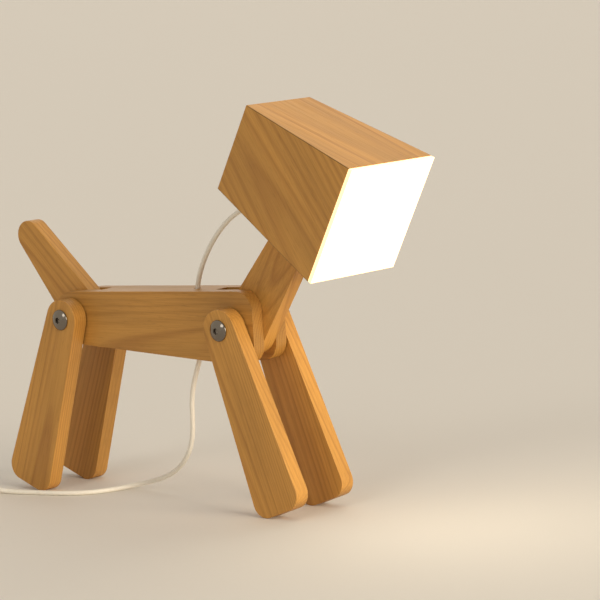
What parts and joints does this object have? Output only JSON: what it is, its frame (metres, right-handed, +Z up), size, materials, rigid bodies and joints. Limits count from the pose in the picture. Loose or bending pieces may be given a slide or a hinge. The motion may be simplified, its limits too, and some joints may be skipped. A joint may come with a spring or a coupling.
{
  "type": "table lamp",
  "caption": "Wooden table lamp in the shape of a dog: plank legs, neck and tail turn on axles, and a tapered box head tilts and glows at its square front.",
  "frame": {"origin": "on the table, below the middle of the lamp's length and width without its cord", "axes": "+X the way the dog looks, +Y to the dog's left, +Z up"},
  "size_m": [0.5259, 0.1052, 0.2848],
  "materials": {
    "oak": "oiled",
    "pine": "planed",
    "nickel": "polished",
    "steel": "zinc plated",
    "fibre": "matte",
    "opal": "opal",
    "aluminium": "rolled",
    "white_board": "matte",
    "phosphor": "gloss",
    "foam": "matte",
    "green_board": "gloss",
    "black_plastic": "matte",
    "grey_plastic": "matte",
    "cream_plastic": "satin",
    "cord": "matte",
    "brass": "plain"
  },
  "bodies": {
    "torso": {"torso_right_cheek": "oak", "torso_core": "oak", "torso_left_cheek": "oak", "front_axle_barrel": "nickel", "front_axle_screw": "nickel", "rear_axle_barrel": "nickel", "rear_axle_screw": "nickel", "switch_screws": "steel", "plug_shell": "steel", "leg_washers": "fibre", "coil_tie": "grey_plastic", "switch_lower_shell": "cream_plastic", "switch_upper_shell": "cream_plastic", "switch_contacts": "brass", "plug_contacts": "brass", "plug_body": "cream_plastic", "plug_tongue": "white_board", "cord_upper": "cord", "cord_lower": "cord", "cord_link": "cord", "cord_coil": "cord", "cord_end": "cord"},
    "right_front_leg": {"right_front_leg": "oak"},
    "left_front_leg": {"left_front_leg": "oak"},
    "right_rear_leg": {"right_rear_leg": "oak"},
    "left_rear_leg": {"left_rear_leg": "oak"},
    "tail": {"tail": "oak"},
    "neck": {"neck": "oak"},
    "head": {"head_top_board": "oak", "head_bottom_board": "oak", "head_right_board": "oak", "head_left_board": "oak", "head_back_board": "oak", "diffuser": "opal", "light_plate": "aluminium", "light_board": "white_board", "light_chips": "phosphor", "plate_battens": "pine", "plate_screws": "steel", "driver_pad": "foam", "driver_board": "green_board", "driver_components": "black_plastic", "hinge_blocks": "pine", "hinge_bolt": "steel", "hinge_nut": "steel", "hinge_washers": "steel", "cord_boot": "cord", "cord_inner": "cord"},
    "rocker": {"switch_rocker": "grey_plastic"}
  },
  "joints": [
    {"name": "right_front_leg_swing", "type": "hinge", "parent": "torso", "child": "right_front_leg", "pos_m": [0.04, 0, 0.12878], "axis": [0, 1, 0], "range_deg": [-45, 30]},
    {"name": "left_front_leg_swing", "type": "hinge", "parent": "torso", "child": "left_front_leg", "pos_m": [0.04, 0, 0.12878], "axis": [0, 1, 0], "range_deg": [-45, 30]},
    {"name": "right_rear_leg_swing", "type": "hinge", "parent": "torso", "child": "right_rear_leg", "pos_m": [-0.116, 0, 0.12878], "axis": [0, 1, 0], "range_deg": [-10, 45]},
    {"name": "left_rear_leg_swing", "type": "hinge", "parent": "torso", "child": "left_rear_leg", "pos_m": [-0.116, 0, 0.12878], "axis": [0, 1, 0], "range_deg": [-10, 45]},
    {"name": "tail_swing", "type": "hinge", "parent": "torso", "child": "tail", "pos_m": [-0.116, 0, 0.12878], "axis": [0, 1, 0], "range_deg": [-35, 35]},
    {"name": "neck_lean", "type": "hinge", "parent": "torso", "child": "neck", "pos_m": [0.04, 0, 0.12878], "axis": [0, 1, 0], "range_deg": [-25, 25], "deforming": ["cord_upper"]},
    {"name": "head_tilt", "type": "hinge", "parent": "neck", "child": "head", "pos_m": [0.10458, 0, 0.21033], "axis": [0, 1, 0], "range_deg": [-20, 20], "deforming": ["cord_upper"]},
    {"name": "switch_rock", "type": "hinge", "parent": "torso", "child": "rocker", "pos_m": [-0.208, -0.054, 0.0074], "axis": [0, 1, 0], "range_deg": [-16, 0]}
  ]
}
